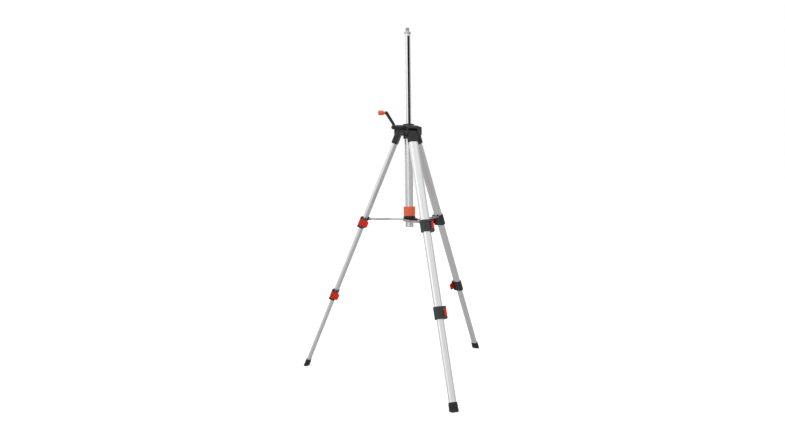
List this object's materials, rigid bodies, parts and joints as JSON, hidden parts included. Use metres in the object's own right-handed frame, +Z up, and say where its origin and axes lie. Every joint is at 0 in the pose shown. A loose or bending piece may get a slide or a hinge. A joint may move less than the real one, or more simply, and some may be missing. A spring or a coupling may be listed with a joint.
{
  "type": "laser level tripod",
  "caption": "Elevating tripod with a geared, crank-raised column, telescoping flip-lever legs on a sliding spreader, and a threaded stud for a laser level.",
  "frame": {"origin": "on the ground, at the centre of the footprint's bounding box; the tripod's own axis stands 113 mm behind it, along +Y", "axes": "+Z up along the column, the front leg along -Y, the crank on the -X side"},
  "size_m": [0.8252, 0.7172, 1.4],
  "materials": {
    "aluminium": "satin silver anodised",
    "bright_steel": "zinc plated",
    "dark_steel": "black oxide",
    "housing_plastic": "moulded dark grey, fine grain",
    "black_plastic": "moulded black",
    "red_plastic": "moulded red-orange, semi-matt",
    "rubber": "matt black rubber"
  },
  "bodies": {
    "head": {"head_housing": "housing_plastic", "head_cover": "black_plastic", "shaft_bush": "black_plastic", "centre_tube": "aluminium", "tube_end_cap": "black_plastic", "leg_pin_front": "dark_steel", "leg_pin_right": "dark_steel", "leg_pin_left": "dark_steel"},
    "column": {"column_tube": "aluminium", "gear_rack": "black_plastic", "column_flange": "aluminium", "thread_stud": "bright_steel", "column_guide": "black_plastic"},
    "crank": {"crank_shaft": "bright_steel", "pinion_gear": "bright_steel", "crank_arm": "black_plastic", "crank_screw": "dark_steel", "knob_pin": "bright_steel"},
    "knob": {"crank_knob": "red_plastic"},
    "collar": {"collar_sleeve": "black_plastic", "collar_collet": "black_plastic"},
    "lock_nut": {"collar_nut": "red_plastic"},
    "front_leg": {"leg_plug_front": "black_plastic", "upper_tube_front": "aluminium", "upper_clamp_front": "housing_plastic", "strut_pin_front": "bright_steel"},
    "front_upper_lever": {"upper_lever_front": "red_plastic"},
    "front_middle": {"middle_tube_front": "aluminium", "lower_clamp_front": "housing_plastic"},
    "front_lower_lever": {"lower_lever_front": "red_plastic"},
    "front_lower": {"lower_tube_front": "aluminium", "rubber_foot_front": "rubber"},
    "front_strut": {"strut_front": "aluminium", "collar_rivet_front": "bright_steel"},
    "right_leg": {"leg_plug_right": "black_plastic", "upper_tube_right": "aluminium", "upper_clamp_right": "housing_plastic", "strut_pin_right": "bright_steel"},
    "right_upper_lever": {"upper_lever_right": "red_plastic"},
    "right_middle": {"middle_tube_right": "aluminium", "lower_clamp_right": "housing_plastic"},
    "right_lower_lever": {"lower_lever_right": "red_plastic"},
    "right_lower": {"lower_tube_right": "aluminium", "rubber_foot_right": "rubber"},
    "right_strut": {"strut_right": "aluminium", "collar_rivet_right": "bright_steel"},
    "left_leg": {"leg_plug_left": "black_plastic", "upper_tube_left": "aluminium", "upper_clamp_left": "housing_plastic", "strut_pin_left": "bright_steel"},
    "left_upper_lever": {"upper_lever_left": "red_plastic"},
    "left_middle": {"middle_tube_left": "aluminium", "lower_clamp_left": "housing_plastic"},
    "left_lower_lever": {"lower_lever_left": "red_plastic"},
    "left_lower": {"lower_tube_left": "aluminium", "rubber_foot_left": "rubber"},
    "left_strut": {"strut_left": "aluminium", "collar_rivet_left": "bright_steel"}
  },
  "joints": [
    {"name": "column_lift", "type": "slide", "parent": "head", "child": "column", "axis": [0, 0, 1], "range_m": [-0.337, 0]},
    {"name": "crank_turn", "type": "hinge", "parent": "head", "child": "crank", "pos_m": [-0.067, 0.09678, 1.005], "axis": [1, 0, 0], "range_deg": [-3120, 0]},
    {"name": "knob_spin", "type": "hinge", "parent": "crank", "child": "knob", "pos_m": [-0.116, 0.09678, 1.061], "axis": [1, 0, 0], "continuous": true},
    {"name": "collar_slide", "type": "slide", "parent": "head", "child": "collar", "axis": [0, 0, 1], "range_m": [0, 0.1262]},
    {"name": "lock_nut_turn", "type": "hinge", "parent": "collar", "child": "lock_nut", "pos_m": [0, 0.11278, 0.667], "axis": [0, 0, 1], "range_deg": [0, 120]},
    {"name": "front_leg_fold", "type": "hinge", "parent": "head", "child": "front_leg", "pos_m": [0, 0.07298, 0.985], "axis": [-1, 0, 0], "range_deg": [-23.14, 0]},
    {"name": "front_strut_fold", "type": "hinge", "parent": "front_leg", "child": "front_strut", "pos_m": [-0.008, -0.05781, 0.63417], "axis": [-1, 0, 0], "range_deg": [-68.22, 0]},
    {"name": "front_upper_lever_flip", "type": "hinge", "parent": "front_leg", "child": "front_upper_lever", "pos_m": [0.02424, -0.08993, 0.62506], "axis": [0, -0.393, -0.9195], "range_deg": [0, 100]},
    {"name": "front_lower_lever_flip", "type": "hinge", "parent": "front_middle", "child": "front_lower_lever", "pos_m": [0.02177, -0.21991, 0.31902], "axis": [0, -0.393, -0.9195], "range_deg": [0, 100]},
    {"name": "front_middle_slide", "type": "slide", "parent": "front_leg", "child": "front_middle", "axis": [0, -0.393, -0.9195], "range_m": [-0.28, 0]},
    {"name": "front_lower_slide", "type": "slide", "parent": "front_middle", "child": "front_lower", "axis": [0, -0.393, -0.9195], "range_m": [-0.288, 0]},
    {"name": "right_leg_fold", "type": "hinge", "parent": "head", "child": "right_leg", "pos_m": [0.03447, 0.13268, 0.985], "axis": [0.5, -0.866, 0], "range_deg": [-23.14, 0]},
    {"name": "right_strut_fold", "type": "hinge", "parent": "right_leg", "child": "right_strut", "pos_m": [0.15174, 0.19115, 0.63417], "axis": [0.5, -0.866, 0], "range_deg": [-68.22, 0]},
    {"name": "right_upper_lever_flip", "type": "hinge", "parent": "right_leg", "child": "right_upper_lever", "pos_m": [0.16343, 0.23513, 0.62506], "axis": [0.3403, 0.1965, -0.9195], "range_deg": [0, 100]},
    {"name": "right_lower_lever_flip", "type": "hinge", "parent": "right_middle", "child": "right_lower_lever", "pos_m": [0.27723, 0.29798, 0.31902], "axis": [0.3403, 0.1965, -0.9195], "range_deg": [0, 100]},
    {"name": "right_middle_slide", "type": "slide", "parent": "right_leg", "child": "right_middle", "axis": [0.3403, 0.1965, -0.9195], "range_m": [-0.28, 0]},
    {"name": "right_lower_slide", "type": "slide", "parent": "right_middle", "child": "right_lower", "axis": [0.3403, 0.1965, -0.9195], "range_m": [-0.288, 0]},
    {"name": "left_leg_fold", "type": "hinge", "parent": "head", "child": "left_leg", "pos_m": [-0.03447, 0.13268, 0.985], "axis": [0.5, 0.866, 0], "range_deg": [-23.14, 0]},
    {"name": "left_strut_fold", "type": "hinge", "parent": "left_leg", "child": "left_strut", "pos_m": [-0.14374, 0.205, 0.63417], "axis": [0.5, 0.866, 0], "range_deg": [-68.22, 0]},
    {"name": "left_upper_lever_flip", "type": "hinge", "parent": "left_leg", "child": "left_upper_lever", "pos_m": [-0.18767, 0.19314, 0.62506], "axis": [-0.3403, 0.1965, -0.9195], "range_deg": [0, 100]},
    {"name": "left_lower_lever_flip", "type": "hinge", "parent": "left_middle", "child": "left_lower_lever", "pos_m": [-0.299, 0.26026, 0.31902], "axis": [-0.3403, 0.1965, -0.9195], "range_deg": [0, 100]},
    {"name": "left_middle_slide", "type": "slide", "parent": "left_leg", "child": "left_middle", "axis": [-0.3403, 0.1965, -0.9195], "range_m": [-0.28, 0]},
    {"name": "left_lower_slide", "type": "slide", "parent": "left_middle", "child": "left_lower", "axis": [-0.3403, 0.1965, -0.9195], "range_m": [-0.288, 0]}
  ],
  "couplings": [
    {"joint": "crank_turn", "follows": "column_lift", "rad_per_m": 160},
    {"joint": "front_strut_fold", "follows": "front_leg_fold", "ratio": 2.9478},
    {"joint": "right_leg_fold", "follows": "front_leg_fold", "ratio": 1},
    {"joint": "right_strut_fold", "follows": "front_leg_fold", "ratio": 2.9478},
    {"joint": "left_leg_fold", "follows": "front_leg_fold", "ratio": 1},
    {"joint": "left_strut_fold", "follows": "front_leg_fold", "ratio": 2.9478},
    {"joint": "collar_slide", "follows": "front_leg_fold", "m_per_rad": -0.31223}
  ]
}
